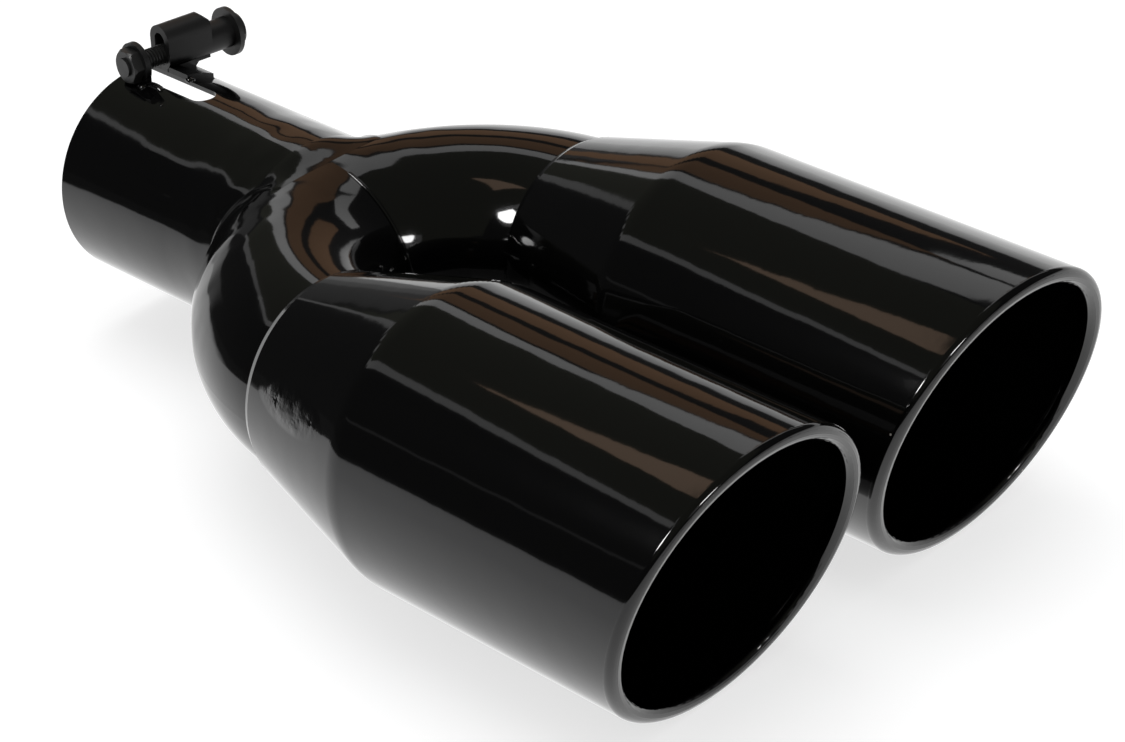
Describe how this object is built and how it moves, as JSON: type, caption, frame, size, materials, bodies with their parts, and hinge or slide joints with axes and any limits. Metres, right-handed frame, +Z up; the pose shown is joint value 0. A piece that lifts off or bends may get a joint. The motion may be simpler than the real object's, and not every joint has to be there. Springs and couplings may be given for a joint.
{
  "type": "exhaust tip",
  "caption": "Clamp-on twin exhaust tip: a slotted inlet tube splits through two mitred elbows into two side-by-side slash-cut round outlets with rolled edges.",
  "frame": {"origin": "centre of the inlet tube's mouth, where the tip slides onto the tail pipe", "axes": "X runs with the gas from the inlet to the outlets, Y across from the right outlet to the left one, Z up towards the clamp bolt"},
  "size_m": [0.3146, 0.1872, 0.0922],
  "materials": {
    "gloss_black": "deep gloss black enamel over steel tube",
    "tip_black": "deep gloss black enamel over steel, slight orange peel",
    "weld_black": "gloss black enamel over rippled weld",
    "lug_black": "satin black enamel over folded strip",
    "bolt_black": "satin black coating on plated steel fasteners"
  },
  "bodies": {
    "root": {"inlet_pipe": "gloss_black", "inlet_weld": "weld_black", "left_elbow": "gloss_black", "right_elbow": "gloss_black", "saddle_weld": "weld_black", "left_tip": "tip_black", "right_tip": "tip_black", "left_tip_weld": "weld_black", "right_tip_weld": "weld_black", "ear_lug": "lug_black", "barrel_lug": "lug_black", "ear_lug_weld": "weld_black", "barrel_lug_weld": "weld_black", "clamp_bolt": "bolt_black", "clamp_nut": "bolt_black"}
  },
  "joints": []
}
